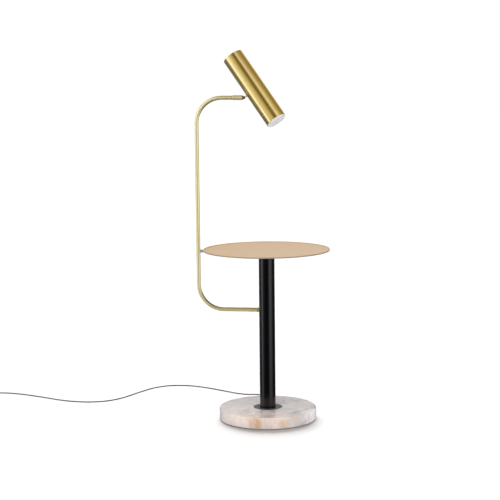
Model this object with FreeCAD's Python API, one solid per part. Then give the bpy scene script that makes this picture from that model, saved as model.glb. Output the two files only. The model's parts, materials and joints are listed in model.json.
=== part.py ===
# Floor lamp with a round tray table: marble foot, black post, C-shaped arm and swivelling head.
#
# Millimetres, +Z up. The origin is the centre of the underside, on the floor. The arm lies in
# the plane Y = 0 and reaches to -X. The head is modelled about its tilt pin with its light
# pointing straight down, and is then tilted and swivelled to its rest pose.
# Each sub-part is written to its own STEP file.
import FreeCAD, Part
import math
import os

V = FreeCAD.Vector
X_AXIS = V(1, 0, 0)
Y_AXIS = V(0, 1, 0)
Z_AXIS = V(0, 0, 1)

# ---------------------------------------------------------------- driving dimensions
# fits, as gaps on one side
push_gap = 0.05          # pressed, glued and threaded pieces
running_gap = 0.05       # pins and spigots that turn
moving_gap = 0.3         # faces that pass each other
clearance_gap = 0.25     # screws in plain holes

# foot
pad_d = 382.0
pad_t = 4.0
marble_d = 387.0
marble_t = 43.0
marble_top_ease = 2.5
marble_foot_ease = 1.5
flange_d = 115.0
flange_t = 3.0
flange_edge = 0.4        # chamfer
flange_sink = 0.5        # the marble's top stands this far above the flange
inlay_gap = 0.3
clamp_d = 90.0
clamp_t = 5.0
well_gap = 1.0
well_depth = 17.0        # pocket under the marble for the clamp plate and the bolt head
bolt_d = 12.0
bolt_head_af = 19.0
bolt_head_h = 7.5
lock_washer_d = 24.0
lock_washer_t = 2.5
wire_hole_d = 8.0
wire_hole_r = 20.0       # its distance from the lamp's axis

# post
post_d = 63.0
post_wall = 2.0
foot_plug_h = 20.0
driver_size = (30.0, 34.0, 90.0)
driver_corner_r = 4.0
driver_gap = 2.8         # from its corners to the wall of the post, beside the wire hole

# tray
tray_top_z = 684.0
tray_d = 500.0
tray_t = 3.0
tray_rim_h = 6.0
tray_rim_t = 2.0
tray_edge_r = 0.8
tray_low_edge_r = 1.6
boss_plate_d = 130.0
boss_plate_t = 4.0
cap_flange_d = 110.0
cap_flange_t = 4.0
cap_spigot_h = 16.0
cap_bore_d = 20.0
tray_screw_d = 5.0
tray_screw_head_d = 9.2
tray_screw_head_h = 3.6
tray_screw_pcd = 84.0
tray_screw_count = 4
tray_screw_short = 0.5   # the screws stop this far short of the tray

# link between the tray and the arm
link_w = 12.0
link_h = 10.0
link_lap = 24.0          # how far it runs under the tray
link_screw_d = 4.0
link_screw_head_d = 7.6
link_screw_head_h = 2.6
link_screw_pitch = 10.0
link_screw_bite = 2.0    # depth into the tray

# arm
arm_d = 16.0
arm_wall = 1.25
arm_beyond_tray = 24.0   # from the tray's edge to the upright's axis
arm_low_z = 440.0
arm_top_z = 1279.0
arm_bend_r = 100.0
arm_inset = 17.0         # how far the tube enters the post's surface
collar_d = 17.8
collar_l = 9.0
collar_edge_r = 0.6
socket_h = 36.0
socket_bore_d = 14.0
socket_link_d = 8.0
grub_d = 6.0
grub_from_end = 7.0      # grub screw's distance from the tube's lower end
grub_sunk = 2.5
grub_key_d = 3.0
grub_key_depth = 4.0

# knuckle
pin_x = -84.0            # tilt pin, on the axis of the arm's top run
pin_d = 2.5
pin_short = 0.4          # the pin ends stop this far inside the tip
sleeve_d = 18.5
sleeve_l = 44.5          # rear face to tilt pin
sleeve_taper_l = 8.0
sleeve_edge = 0.4        # chamfer on the rear end
sleeve_cup_depth = 3.3
sleeve_bore_l = 26.7
tip_d = 11.0
slot_w = 4.6
slot_depth = 5.0         # slot floor behind the tilt pin
wire_bore_d = 4.5
spigot_d = 11.0
spigot_press_l = 18.0
spigot_l = 25.0
spigot_bore_d = 4.0
groove_d = 8.0
groove_w = 2.6
groove_from_tip = 7.0
stop_angle = 19.0        # width of the block that interrupts the groove
stop_screw_d = 3.0
stop_tip_d = 2.0
stop_tip_l = 1.5

# head
head_d = 83.0
head_wall = 1.5
head_down = 149.0        # stem axis to the lower end
head_up = 164.0          # stem axis to the upper end
head_edge_r = 0.5
head_offset = 54.4       # tilt pin to the head's axis
tilt_rest = 35.0
swivel_rest = 15.3
stem_d = 6.0
stem_eye_d = 6.4
stem_round_from = 6.6    # flats end this far from the pin
stem_collar_d = 9.0
stem_collar_t = 1.8
stem_thread_d = 5.0
stem_thread_out = 2.0    # thread standing out of the nut
stem_bore_d = 2.6
stem_bore_from = 8.0
saddle_w = 12.0
saddle_h = 14.0
saddle_t = 3.5
saddle_gap = 0.2         # between the saddle and the head's bore
nut_af = 8.0
nut_t = 4.0
cap_t = 2.0
cap_sink = 1.5
cap_edge_r = 0.4
sink_top = 28.0          # below the stem's axis
sink_h = 60.0
sink_core_d = 40.0
sink_base_t = 5.0
fin_t = 2.2
fin_count = 14
sink_wire_bore_d = 5.0
sink_wire_offset = 14.4  # from the head's axis towards the stem
board_d = 56.0
board_t = 1.6
chip_w = 13.5
chip_t = 1.4
board_screw_d = 3.0
board_screw_head_d = 5.5
board_screw_head_h = 1.6
board_screw_r = 20.0
board_screw_bite = 6.0
reflector_small_d = 26.0
reflector_gap = 1.5      # between its rim and the head's bore
reflector_wall = 1.0
diffuser_skirt = 11.0
diffuser_proud = 6.0
diffuser_wall = 2.2
diffuser_edge_r = 3.0

# leads and cord
lead_d = 2.4
lead_bend_r = 10.0
head_lead_bend_r = 8.0
cord_d = 4.8
cord_lift = 0.1          # free cord above the floor
channel_w = 9.0
exit_angle = 97.0        # direction of the cord's exit, from +X
relief_block_l = 20.0
relief_out = 27.0        # how far the tapered boot stands out of the marble
relief_root_d = 8.0
relief_tip_d = 6.2
mains_bend_r = 12.0

# The cord's free route, chosen by hand: (x, y, height above the resting height).
# It starts straight out of the strain relief and ends at the switch's end face.
cord_first_run = 30.0
cord_route = [
    (-34, 275, 2.6), (-40, 318, 0.0), (-60, 362, 0.0), (-98, 395, 0.0),
    (-150, 383, 0.0), (-200, 406, 0.0), (-250, 437, 0.0), (-303, 472, 0.0), (-357, 501, 0.0),
    (-414, 523, 0.0), (-471, 526, 0.0), (-526, 510, 0.0), (-573, 465, 0.0), (-602, 408, 0.0),
    (-629, 346, 0.0), (-655, 279, 0.0), (-691, 222, 0.0), (-739, 185, 0.0), (-800, 171, 0.0),
    (-857, 177, 0.0), (-920, 194, 0.0), (-981, 224, 0.0), (-1041, 252, 0.0), (-1100, 277, 0.0),
    (-1160, 294, 0.0), (-1218, 298, 0.0), (-1262, 276, 0.6), (-1276, 243, 2.5),
]
run_share = 0.45         # share of the shorter run that an arc takes up

# in-line switch, along Y
switch_x = -1276.0
switch_y = 190.0
switch_l = 64.0
switch_w = 27.0
switch_h = 19.0
switch_base_h = 9.0
switch_wall = 2.0
switch_cord_z = 5.0
switch_cavity_l = 40.0
switch_corner_r = 6.0
switch_edge_r = 2.5
rocker_l = 14.4
rocker_w = 10.4
rocker_top = 5.2         # above its pivot
rocker_low = 1.6         # below its pivot
rocker_pivot_z = 15.0
rocker_pin_d = 2.0
rocker_pin_l = 1.2
rocker_rest = 8.0
rocker_edge_r = 0.8
window_l = 16.8
window_w = 11.2
lug_t = 1.5
lug_w = 6.0
lug_h = 5.0
switch_screw_d = 2.5
switch_screw_head_d = 4.6
switch_screw_head_h = 2.0
switch_screw_sunk = 0.5
switch_screw_l = 12.0
switch_screw_x = 8.5
switch_screw_y = 26.0

# coil of the cord's unseen length
coil_y = 80.0
coil_inner_r = 21.0
coil_step = 5.4          # from one turn to the next in a layer
coil_turns = 2           # in each of the two layers
coil_layer = 5.25        # from the lower layer to the upper
coil_low_z = 3.4
coil_tuck = 0.8          # how far the climbing half turn draws in
coil_lead_in = 9.0
tie_turn = 0.25          # the tie is this part of a turn along the coil
tie_w = 8.0
tie_t = 0.8
tie_gap = 0.15
tie_corner_r = 1.2

# plug
plug_from_coil = 31.0
plug_neck_l = 12.0
plug_neck_d = 7.5
plug_l = 36.0
plug_w = 35.0
plug_rear_w = 17.0
plug_t = 17.2
plug_edge_r = 3.0
plug_flare_l = 16.0      # from the neck to the full width
plug_pin_d = 4.0
plug_pin_l = 19.0
plug_pin_pitch = 19.0
plug_pin_held = 12.0     # length of each pin inside the plug
plug_pin_tip_r = 1.2

# ---------------------------------------------------------------- derived places
marble_top_z = pad_t + marble_t
flange_top_z = marble_top_z - flange_sink
flange_low_z = flange_top_z - flange_t
well_top_z = pad_t + well_depth
foot_plug_top_z = flange_top_z + foot_plug_h
tray_low_z = tray_top_z - tray_rim_h
arm_x = tray_d / 2 + arm_beyond_tray
cap_flange_top_z = tray_low_z - boss_plate_t
post_top_z = cap_flange_top_z - cap_flange_t
post_bore_d = post_d - 2 * post_wall
arm_inner_x = -(post_d / 2 - arm_inset)
sleeve_rear_x = pin_x - sleeve_l
arm_end_x = sleeve_rear_x + sleeve_cup_depth - moving_gap
spigot_tip_x = arm_end_x + spigot_l
groove_x = spigot_tip_x - groove_from_tip
head_seat = head_offset - head_d / 2
head_inner = head_offset - head_d / 2 + head_wall
head_bore_d = head_d - 2 * head_wall
reflector_large_d = head_bore_d - 2 * reflector_gap
sink_low = -(sink_top + sink_h)
diffuser_low = -(head_down + diffuser_proud)
cord_z = cord_d / 2 + cord_lift
channel_z = pad_t + channel_w / 2
exit_dir = V(math.cos(math.radians(exit_angle)), math.sin(math.radians(exit_angle)), 0)
relief_end = exit_dir * (marble_d / 2 + relief_out) + Z_AXIS * channel_z
wire_spot = exit_dir * wire_hole_r
pin_spot = V(pin_x, 0, arm_top_z)
coil_spot = V(switch_x + coil_inner_r + coil_turns * coil_step, coil_y, coil_low_z)
plug_z = coil_low_z + coil_layer


# ---------------------------------------------------------------- shapes
def rod(d, start, end):
    """Round bar of diameter d between two points."""
    return Part.makeCylinder(d / 2, (end - start).Length, start, end - start)


def disc(d, low, high, x=0.0, y=0.0):
    """Upright round bar between two heights."""
    return rod(d, V(x, y, low), V(x, y, high))


def block(x, y, z):
    """Box between pairs of limits."""
    return Part.makeBox(x[1] - x[0], y[1] - y[0], z[1] - z[0], V(x[0], y[0], z[0]))


def hexagon(af, low, high):
    """Upright hexagon bar of a width across flats."""
    corner = af / math.sqrt(3)
    points = [V(corner * math.cos(k * math.pi / 3), corner * math.sin(k * math.pi / 3), low)
              for k in range(7)]
    return Part.Face(Part.makePolygon(points)).extrude(Z_AXIS * (high - low))


def edges_at(shape, z, radius):
    """Round edges of a radius about Z that lie flat at a height."""
    return [e for e in shape.Edges
            if abs(e.BoundBox.ZMin - z) < 1e-4 and abs(e.BoundBox.ZMax - z) < 1e-4
            and hasattr(e.Curve, "Radius") and abs(e.Curve.Radius - radius) < 1e-4]


def one_solid(shape):
    """The single solid of a cleaned boolean result."""
    shape = shape.removeSplitter()
    return shape.Solids[0] if len(shape.Solids) == 1 else shape


def arc_between(start, corner, end):
    """Arc tangent to both lines at a corner, from start to end at equal distances from it."""
    chord = (start + end) * 0.5
    rise = corner - chord
    half = (end - start).Length / 2
    sagitta = half * math.tan(math.atan2(rise.Length, half) / 2)
    return Part.Arc(start, chord + rise * (sagitta / rise.Length), end).toShape()


def rounded_path(points, radius_at):
    """Straight runs joined by tangent arcs. radius_at gives each corner's arc radius."""
    edges = []
    radii = []
    place = points[0]
    for before, corner, after in zip(points, points[1:], points[2:]):
        back = (before - corner).normalize()
        ahead = (after - corner).normalize()
        half_turn = (math.pi - back.getAngle(ahead)) / 2
        radius = radius_at(before, corner, after, half_turn)
        reach = radius * math.tan(half_turn)
        start = corner + back * reach
        end = corner + ahead * reach
        edges.append(Part.LineSegment(place, start).toShape())
        edges.append(arc_between(start, corner, end))
        radii.append(radius)
        place = end
    edges.append(Part.LineSegment(place, points[-1]).toShape())
    return Part.Wire(edges), radii


def largest_arc(before, corner, after, half_turn):
    """Arc radius that takes up its share of the shorter run."""
    shorter = min((before - corner).Length, (after - corner).Length)
    return run_share * shorter / math.tan(half_turn)


def tube_along(path, d):
    """Round tube along a wire."""
    start = path.OrderedEdges[0]
    spot = start.valueAt(start.FirstParameter)
    heading = start.tangentAt(start.FirstParameter)
    ring = Part.Wire(Part.makeCircle(d / 2, spot, heading))
    return path.makePipeShell([ring], True, False)


def radial_holes(d, low, high, pcd, count):
    """Upright bars on a circle, the first at 45 degrees."""
    bars = []
    for k in range(count):
        angle = math.radians(45 + 360.0 * k / count)
        bars.append(disc(d, low, high, pcd / 2 * math.cos(angle), pcd / 2 * math.sin(angle)))
    return bars


# ---------------------------------------------------------------- foot
def make_base_pad():
    return disc(pad_d, 0, pad_t)


def make_marble_base():
    stone = disc(marble_d, pad_t, marble_top_z)
    stone = stone.makeFillet(marble_top_ease, edges_at(stone, marble_top_z, marble_d / 2))
    stone = stone.makeFillet(marble_foot_ease, edges_at(stone, pad_t, marble_d / 2))
    inlay = disc(flange_d + 2 * inlay_gap, flange_low_z, marble_top_z + 1)
    well = disc(clamp_d + 2 * well_gap, pad_t - 1, well_top_z)
    bolt_hole = disc(bolt_d + 2 * clearance_gap, pad_t, marble_top_z)
    wire_hole = disc(wire_hole_d, pad_t, marble_top_z, wire_spot.x, wire_spot.y)
    channel = block((0, marble_d), (-channel_w / 2, channel_w / 2), (pad_t - 1, pad_t + channel_w))
    channel.rotate(V(0, 0, 0), Z_AXIS, exit_angle)
    return one_solid(stone.cut([inlay, well, bolt_hole, wire_hole, channel]))


def make_clamp_plate():
    plate = disc(clamp_d, well_top_z - clamp_t, well_top_z)
    bolt_hole = disc(bolt_d + 2 * clearance_gap, pad_t, well_top_z + 1)
    wire_hole = disc(wire_hole_d, pad_t, well_top_z + 1, wire_spot.x, wire_spot.y)
    return plate.cut([bolt_hole, wire_hole])


def make_lock_washer():
    top = well_top_z - clamp_t
    ring = disc(lock_washer_d, top - lock_washer_t, top)
    return ring.cut(disc(bolt_d + 2 * clearance_gap, top - lock_washer_t - 1, top + 1))


def make_base_bolt():
    seat = well_top_z - clamp_t - lock_washer_t
    head = hexagon(bolt_head_af, seat - bolt_head_h, seat)
    return head.fuse(disc(bolt_d, seat, foot_plug_top_z - clearance_gap)).removeSplitter()


def make_base_flange():
    plate = disc(flange_d, flange_low_z, flange_top_z)
    plate = plate.makeChamfer(flange_edge, edges_at(plate, flange_top_z, flange_d / 2))
    bolt_hole = disc(bolt_d + 2 * clearance_gap, flange_low_z - 1, flange_top_z + 1)
    wire_hole = disc(wire_hole_d, flange_low_z - 1, flange_top_z + 1, wire_spot.x, wire_spot.y)
    return plate.cut([bolt_hole, wire_hole])


# ---------------------------------------------------------------- post
def make_foot_plug():
    plug = disc(post_bore_d - 2 * push_gap, flange_top_z, foot_plug_top_z)
    thread = disc(bolt_d + 2 * push_gap, flange_top_z - 1, foot_plug_top_z + 1)
    wire_hole = disc(wire_hole_d, flange_top_z - 1, foot_plug_top_z + 1, wire_spot.x, wire_spot.y)
    return plug.cut([thread, wire_hole])


def make_post_tube():
    tube = disc(post_d, flange_top_z, post_top_z)
    bore = disc(post_bore_d, flange_top_z - 1, post_top_z + 1)
    arm_hole = rod(arm_d + 2 * push_gap, V(-post_d, 0, arm_low_z), V(0, 0, arm_low_z))
    grub_x = arm_inner_x - grub_from_end
    grub_hole = rod(grub_d + 2 * push_gap, V(grub_x, 0, arm_low_z), V(grub_x, post_d, arm_low_z))
    return one_solid(tube.cut([bore, arm_hole, grub_hole]))


def make_led_driver():
    x, y, z = driver_size
    corner_reach = post_bore_d / 2 - driver_gap - driver_corner_r
    corner_y = math.sqrt(corner_reach ** 2 - (x / 2 - driver_corner_r) ** 2)
    far_y = corner_y + driver_corner_r
    case = block((-x / 2, x / 2), (far_y - y, far_y), (foot_plug_top_z, foot_plug_top_z + z))
    upright = [e for e in case.Edges if abs(e.BoundBox.ZLength - z) < 1e-6]
    return case.makeFillet(driver_corner_r, upright)


def make_arm_socket():
    low = arm_low_z - socket_h / 2
    high = arm_low_z + socket_h / 2
    slug = disc(post_bore_d - 2 * push_gap, low, high)
    shaft = disc(socket_bore_d, low - 1, high + 1)
    seat = rod(arm_d + 2 * push_gap, V(-post_d, 0, arm_low_z), V(arm_inner_x, 0, arm_low_z))
    way = rod(socket_link_d, V(arm_inner_x - 1, 0, arm_low_z), V(0, 0, arm_low_z))
    grub_x = arm_inner_x - grub_from_end
    grub_hole = rod(grub_d + 2 * push_gap, V(grub_x, 0, arm_low_z), V(grub_x, post_d, arm_low_z))
    return one_solid(slug.cut([shaft, seat, way, grub_hole]))


def make_arm_grub_screw():
    grub_x = arm_inner_x - grub_from_end
    tip = V(grub_x, arm_d / 2 + push_gap, arm_low_z)
    surface = math.sqrt((post_d / 2) ** 2 - grub_x ** 2)
    end = V(grub_x, surface - grub_sunk, arm_low_z)
    key = rod(grub_key_d, end - Y_AXIS * grub_key_depth, end + Y_AXIS)
    return rod(grub_d, tip, end).cut(key)


def make_post_cap_flange():
    plate = disc(cap_flange_d, post_top_z, cap_flange_top_z)
    plate = plate.fuse(disc(post_bore_d - 2 * push_gap, post_top_z - cap_spigot_h, post_top_z))
    holes = radial_holes(tray_screw_d + 2 * clearance_gap, post_top_z - 1, cap_flange_top_z + 1,
                         tray_screw_pcd, tray_screw_count)
    bore = disc(cap_bore_d, post_top_z - cap_spigot_h - 1, cap_flange_top_z + 1)
    return one_solid(plate.cut(holes + [bore]))


# ---------------------------------------------------------------- tray
def make_tray_boss_plate():
    plate = disc(boss_plate_d, cap_flange_top_z, tray_low_z)
    return plate.cut(radial_holes(tray_screw_d + 2 * push_gap, cap_flange_top_z - 1, tray_low_z + 1,
                                  tray_screw_pcd, tray_screw_count))


def make_tray_screws():
    heads = radial_holes(tray_screw_head_d, post_top_z - tray_screw_head_h, post_top_z,
                         tray_screw_pcd, tray_screw_count)
    shanks = radial_holes(tray_screw_d, post_top_z - 1, tray_low_z - tray_screw_short,
                          tray_screw_pcd, tray_screw_count)
    return Part.makeCompound([h.fuse(s).removeSplitter() for h, s in zip(heads, shanks)])


def link_screw_places():
    """X of each link screw, from the tray's edge inwards."""
    middle = -(tray_d / 2 - link_lap / 2) + tray_rim_t
    return [middle - link_screw_pitch / 2, middle + link_screw_pitch / 2]


def make_tray():
    plate = disc(tray_d, tray_low_z, tray_top_z)
    plate = plate.makeFillet(tray_low_edge_r, edges_at(plate, tray_low_z, tray_d / 2))
    plate = plate.cut(disc(tray_d - 2 * tray_rim_t, tray_low_z + tray_t, tray_top_z + 1))
    rim = (edges_at(plate, tray_top_z, tray_d / 2)
           + edges_at(plate, tray_top_z, tray_d / 2 - tray_rim_t))
    plate = plate.makeFillet(tray_edge_r, rim)
    holes = [disc(link_screw_d + 2 * push_gap, tray_low_z - 1,
                  tray_low_z + link_screw_bite + push_gap, x) for x in link_screw_places()]
    return plate.cut(holes)


def make_tray_link():
    bar = block((-arm_x, -(tray_d / 2 - link_lap)), (-link_w / 2, link_w / 2),
                (tray_low_z - link_h, tray_low_z))
    saddle = disc(arm_d + 2 * push_gap, tray_low_z - link_h - 1, tray_low_z + 1, -arm_x)
    holes = [disc(link_screw_d + 2 * clearance_gap, tray_low_z - link_h - 1, tray_low_z + 1, x)
             for x in link_screw_places()]
    return one_solid(bar.cut([saddle] + holes))


def make_tray_link_screws():
    seat = tray_low_z - link_h
    screws = []
    for x in link_screw_places():
        head = disc(link_screw_head_d, seat - link_screw_head_h, seat, x)
        shank = disc(link_screw_d, seat - 1, tray_low_z + link_screw_bite, x)
        screws.append(head.fuse(shank).removeSplitter())
    return Part.makeCompound(screws)


# ---------------------------------------------------------------- arm
def arm_line(start_x, end_x):
    """Centre line of the arm, from inside the post to its top end."""
    points = [V(start_x, 0, arm_low_z), V(-arm_x, 0, arm_low_z), V(-arm_x, 0, arm_top_z),
              V(end_x, 0, arm_top_z)]
    return rounded_path(points, lambda before, corner, after, half_turn: arm_bend_r)[0]


def make_arm_tube():
    line = arm_line(arm_inner_x, arm_end_x)
    return one_solid(tube_along(line, arm_d).cut(tube_along(line, arm_d - 2 * arm_wall)))


def make_arm_collar():
    outer_x = -(post_d / 2 + collar_l)
    ring = rod(collar_d, V(outer_x, 0, arm_low_z), V(0, 0, arm_low_z))
    bore = rod(arm_d + 2 * push_gap, V(outer_x - 1, 0, arm_low_z), V(1, 0, arm_low_z))
    post = disc(post_d, arm_low_z - post_d, arm_low_z + post_d)
    outer = [e for e in ring.Edges if abs(e.BoundBox.XMax - outer_x) < 1e-4]
    return one_solid(ring.makeFillet(collar_edge_r, outer).cut([bore, post]))


def make_arm_end_spigot():
    press_d = arm_d - 2 * arm_wall - 2 * push_gap
    body = rod(press_d, V(arm_end_x - spigot_press_l, 0, arm_top_z), V(arm_end_x, 0, arm_top_z))
    body = body.fuse(rod(spigot_d, V(arm_end_x - 1, 0, arm_top_z), V(spigot_tip_x, 0, arm_top_z)))
    edge = groove_w / 2
    groove = rod(spigot_d + 2, V(groove_x - edge, 0, arm_top_z), V(groove_x + edge, 0, arm_top_z))
    groove = groove.cut(rod(groove_d, V(groove_x - spigot_l, 0, arm_top_z),
                            V(groove_x + spigot_l, 0, arm_top_z)))
    reach = spigot_d * math.tan(math.radians(stop_angle / 2))
    key = Part.Face(Part.makePolygon([V(groove_x - spigot_l, 0, arm_top_z),
                                      V(groove_x - spigot_l, -reach, arm_top_z + spigot_d),
                                      V(groove_x - spigot_l, reach, arm_top_z + spigot_d),
                                      V(groove_x - spigot_l, 0, arm_top_z)]))
    groove = groove.cut(key.extrude(X_AXIS * 2 * spigot_l))
    bore = rod(spigot_bore_d, V(arm_end_x - spigot_press_l - 1, 0, arm_top_z),
               V(spigot_tip_x + 1, 0, arm_top_z))
    return one_solid(body.cut([groove, bore]))


# ---------------------------------------------------------------- knuckle
def swivelled(shape):
    """Turn a piece of the sleeve about the arm's top run to its rest angle."""
    turned = shape.copy()
    turned.rotate(pin_spot, X_AXIS, -swivel_rest)
    return turned


def posed(shape):
    """Move a piece of the head from its own frame to its rest pose."""
    moved = shape.copy()
    moved.translate(pin_spot)
    moved.rotate(pin_spot, -Y_AXIS, tilt_rest)
    return swivelled(moved)


def make_knuckle_sleeve():
    taper_x = pin_x - sleeve_taper_l
    body = rod(sleeve_d, V(sleeve_rear_x, 0, arm_top_z), V(taper_x, 0, arm_top_z))
    rear = [e for e in body.Edges if abs(e.BoundBox.XMax - sleeve_rear_x) < 1e-4]
    body = body.makeChamfer(sleeve_edge, rear)
    taper = Part.makeCone(sleeve_d / 2, tip_d / 2, sleeve_taper_l, V(taper_x, 0, arm_top_z), X_AXIS)
    body = body.fuse([taper, Part.makeSphere(tip_d / 2, pin_spot)])
    cup_end = sleeve_rear_x + sleeve_cup_depth
    cup = rod(arm_d + 2 * moving_gap, V(sleeve_rear_x - 1, 0, arm_top_z), V(cup_end, 0, arm_top_z))
    bore = rod(spigot_d + 2 * running_gap, V(cup_end - 1, 0, arm_top_z),
               V(cup_end + sleeve_bore_l, 0, arm_top_z))
    wire = rod(wire_bore_d, V(cup_end, 0, arm_top_z), V(pin_x - slot_depth + 1, 0, arm_top_z))
    slot = block((pin_x - slot_depth, pin_x + tip_d), (-slot_w / 2, slot_w / 2),
                 (arm_top_z - sleeve_d, arm_top_z + sleeve_d))
    pin_hole = rod(pin_d + 2 * push_gap, pin_spot - Y_AXIS * tip_d, pin_spot + Y_AXIS * tip_d)
    stop_hole = rod(stop_screw_d + 2 * push_gap, V(groove_x, 0, arm_top_z),
                    V(groove_x, 0, arm_top_z - sleeve_d))
    return swivelled(one_solid(body.cut([cup, bore, wire, slot, pin_hole, stop_hole])))


def make_swivel_stop_screw():
    tip_z = arm_top_z - groove_d / 2 - moving_gap
    shoulder_z = tip_z - stop_tip_l
    end_z = arm_top_z - sleeve_d / 2 + moving_gap
    body = disc(stop_screw_d, end_z, shoulder_z, groove_x)
    return swivelled(body.fuse(disc(stop_tip_d, end_z, tip_z, groove_x)).removeSplitter())


def make_tilt_pin():
    reach = Y_AXIS * (tip_d / 2 - pin_short)
    return swivelled(rod(pin_d, pin_spot - reach, pin_spot + reach))


# ---------------------------------------------------------------- head, about the tilt pin
def head_disc(d, low, high):
    """Bar about the head's axis between two heights from the stem's axis."""
    return disc(d, low, high, head_offset)


def make_head_stem():
    tongue_t = slot_w - 2 * moving_gap
    eye = rod(stem_eye_d, V(0, -tongue_t / 2, 0), V(0, tongue_t / 2, 0))
    flats = block((0, stem_round_from), (-tongue_t / 2, tongue_t / 2), (-stem_d / 2, stem_d / 2))
    shank = rod(stem_d, V(stem_round_from, 0, 0), V(head_seat, 0, 0))
    collar = rod(stem_collar_d, V(head_seat - stem_collar_t, 0, 0), V(head_inner, 0, 0))
    collar = collar.cut(disc(head_d + 2 * push_gap, -stem_collar_d, stem_collar_d, head_offset))
    end = head_inner + saddle_t + nut_t + stem_thread_out
    thread = rod(stem_thread_d, V(head_seat - stem_collar_t, 0, 0), V(end, 0, 0))
    pin_hole = rod(pin_d + 2 * running_gap, V(0, -stem_d, 0), V(0, stem_d, 0))
    bore = rod(stem_bore_d, V(stem_bore_from, 0, 0), V(end + 1, 0, 0))
    body = eye.fuse([flats, shank, collar, thread])
    return posed(one_solid(body.cut([pin_hole, bore])))


def make_head_shell():
    tube = head_disc(head_d, -head_down, head_up)
    ends = edges_at(tube, -head_down, head_d / 2) + edges_at(tube, head_up, head_d / 2)
    tube = tube.makeFillet(head_edge_r, ends)
    bore = head_disc(head_bore_d, -head_down - 1, head_up + 1)
    hole = rod(stem_thread_d + 2 * push_gap, V(0, 0, 0), V(head_offset, 0, 0))
    return posed(one_solid(tube.cut([bore, hole])))


def make_stem_saddle():
    pad = block((0, head_inner + saddle_t), (-saddle_w / 2, saddle_w / 2),
                (-saddle_h / 2, saddle_h / 2))
    pad = pad.common(head_disc(head_bore_d - 2 * saddle_gap, -saddle_h, saddle_h))
    return posed(pad.cut(rod(stem_thread_d + 2 * push_gap, V(0, 0, 0), V(head_offset, 0, 0))))


def make_stem_nut():
    nut = hexagon(nut_af, 0, nut_t).cut(disc(stem_thread_d + 2 * push_gap, -1, nut_t + 1))
    nut.rotate(V(0, 0, 0), Y_AXIS, 90)
    nut.translate(V(head_inner + saddle_t, 0, 0))
    return posed(nut)


def make_head_cap():
    high = head_up - cap_sink
    plate = head_disc(head_bore_d - 2 * push_gap, high - cap_t, high)
    return posed(plate.makeFillet(cap_edge_r, edges_at(plate, high, head_bore_d / 2 - push_gap)))


def make_heat_sink():
    high = -sink_top
    core = head_disc(sink_core_d, sink_low, high)
    base = head_disc(head_bore_d - 2 * push_gap, sink_low, sink_low + sink_base_t)
    fins = []
    for k in range(fin_count):
        fin = block((0, head_bore_d), (-fin_t / 2, fin_t / 2), (sink_low, high))
        fin.rotate(V(0, 0, 0), Z_AXIS, 360.0 * (k + 0.5) / fin_count)
        fin.translate(V(head_offset, 0, 0))
        fins.append(fin)
    body = core.fuse([base] + fins).common(head_disc(head_bore_d - 2 * push_gap, sink_low, high))
    way = disc(sink_wire_bore_d, sink_low - 1, high + 1, head_offset - sink_wire_offset)
    threads = [disc(board_screw_d + 2 * push_gap, sink_low - 1, sink_low + board_screw_bite,
                    head_offset, y) for y in (-board_screw_r, board_screw_r)]
    return posed(one_solid(body.cut([way] + threads)))


def make_led_board():
    plate = head_disc(board_d, sink_low - board_t, sink_low)
    holes = [disc(board_screw_d + 2 * clearance_gap, sink_low - board_t - 1, sink_low + 1,
                  head_offset, y) for y in (-board_screw_r, board_screw_r)]
    return posed(plate.cut(holes))


def make_led_chip():
    low = sink_low - board_t - chip_t
    return posed(block((head_offset - chip_w / 2, head_offset + chip_w / 2),
                       (-chip_w / 2, chip_w / 2), (low, low + chip_t)))


def make_led_board_screws():
    seat = sink_low - board_t
    screws = []
    for y in (-board_screw_r, board_screw_r):
        head = disc(board_screw_head_d, seat - board_screw_head_h, seat, head_offset, y)
        end = sink_low + board_screw_bite - clearance_gap
        shank = disc(board_screw_d, seat - 1, end, head_offset, y)
        screws.append(posed(head.fuse(shank).removeSplitter()))
    return Part.makeCompound(screws)


def make_reflector():
    high = sink_low - board_t
    low = diffuser_low + diffuser_skirt
    spot = V(head_offset, 0, low)
    outer = Part.makeCone(reflector_large_d / 2, reflector_small_d / 2, high - low, spot, Z_AXIS)
    inner = Part.makeCone(reflector_large_d / 2 - reflector_wall,
                          reflector_small_d / 2 - reflector_wall, high - low, spot, Z_AXIS)
    return posed(outer.cut(inner))


def make_diffuser():
    skirt_d = head_bore_d - 2 * push_gap
    cup = head_disc(skirt_d, diffuser_low, diffuser_low + diffuser_skirt)
    cup = cup.makeFillet(diffuser_edge_r, edges_at(cup, diffuser_low, skirt_d / 2))
    hollow_d = reflector_large_d - 2 * reflector_wall
    hollow = head_disc(hollow_d, diffuser_low + diffuser_wall, diffuser_low + diffuser_skirt + 1)
    return posed(cup.cut(hollow))


# ---------------------------------------------------------------- leads held inside
def make_mains_lead():
    bend_out = exit_dir * wire_hole_r + Z_AXIS * channel_z
    top = exit_dir * wire_hole_r + Z_AXIS * foot_plug_top_z
    line, _ = rounded_path([relief_end, bend_out, top],
                           lambda before, corner, after, half_turn: mains_bend_r)
    return tube_along(line, cord_d)


def make_arm_lead():
    points = [V(0, 0, foot_plug_top_z + driver_size[2]), V(0, 0, arm_low_z),
              V(-arm_x, 0, arm_low_z), V(-arm_x, 0, arm_top_z), V(spigot_tip_x, 0, arm_top_z)]

    def radius(before, corner, after, half_turn):
        return lead_bend_r if corner.x == 0 else arm_bend_r

    return tube_along(rounded_path(points, radius)[0], lead_d)


def make_head_lead():
    x = head_offset - sink_wire_offset
    line, _ = rounded_path([V(stem_bore_from, 0, 0), V(x, 0, 0), V(x, 0, sink_low)],
                           lambda before, corner, after, half_turn: head_lead_bend_r)
    return posed(tube_along(line, lead_d))


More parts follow.
